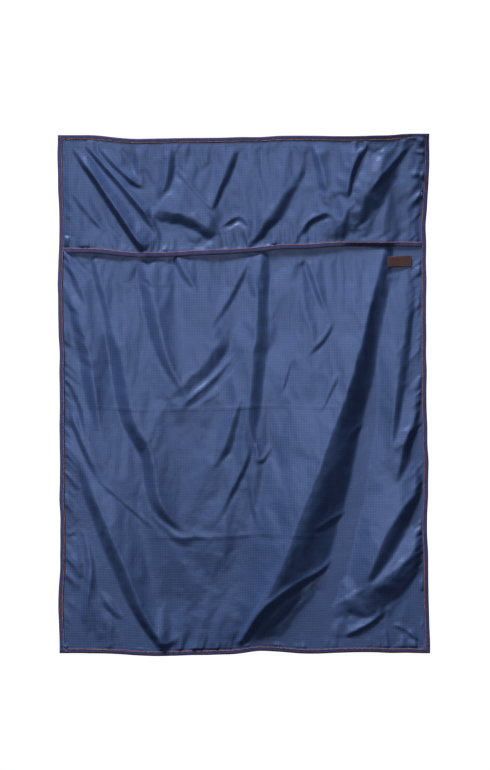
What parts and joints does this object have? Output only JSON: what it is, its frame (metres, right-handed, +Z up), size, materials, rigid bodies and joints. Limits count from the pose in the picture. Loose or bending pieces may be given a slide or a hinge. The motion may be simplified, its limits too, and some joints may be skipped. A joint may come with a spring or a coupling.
{
  "type": "envelope garment bag",
  "caption": "Flat envelope garment bag of ripstop nylon: bound edges, a full-width flap over an open mouth, and a small leather label.",
  "frame": {"origin": "middle of the top edge, halfway through the bound seam", "axes": "+X to the right as seen from the front, -Y out of the front, +Z up along the bag towards its top edge"},
  "size_m": [0.714, 0.0366, 1],
  "materials": {
    "ripstop": "navy-blue ripstop nylon with a soft sheen and a fine 5 mm grid",
    "grosgrain": "violet-navy ribbed grosgrain tape, folded double",
    "thread": "copper-brown polyester lockstitch thread",
    "leather": "matt dark brown leather, blank"
  },
  "bodies": {
    "bag": {"back_panel": "ripstop", "front_panel": "ripstop", "flap_seam_allowance": "ripstop", "top_binding": "grosgrain", "top_needle_thread": "thread", "top_bobbin_thread": "thread", "bottom_binding": "grosgrain", "bottom_needle_thread": "thread", "bottom_bobbin_thread": "thread", "left_binding": "grosgrain", "left_needle_thread": "thread", "left_bobbin_thread": "thread", "right_binding": "grosgrain", "right_needle_thread": "thread", "right_bobbin_thread": "thread", "mouth_binding": "grosgrain", "mouth_needle_thread": "thread", "mouth_bobbin_thread": "thread", "leather_label": "leather", "label_thread_left": "thread", "label_thread_right": "thread"},
    "flap": {"flap_panel": "ripstop", "hem_binding": "grosgrain", "hem_needle_thread": "thread", "hem_bobbin_thread": "thread"}
  },
  "joints": [
    {"name": "flap_lift", "type": "hinge", "parent": "bag", "child": "flap", "pos_m": [0, -0.00235, -0.0103], "axis": [-1, 0, 0], "range_deg": [0, 35]}
  ]
}
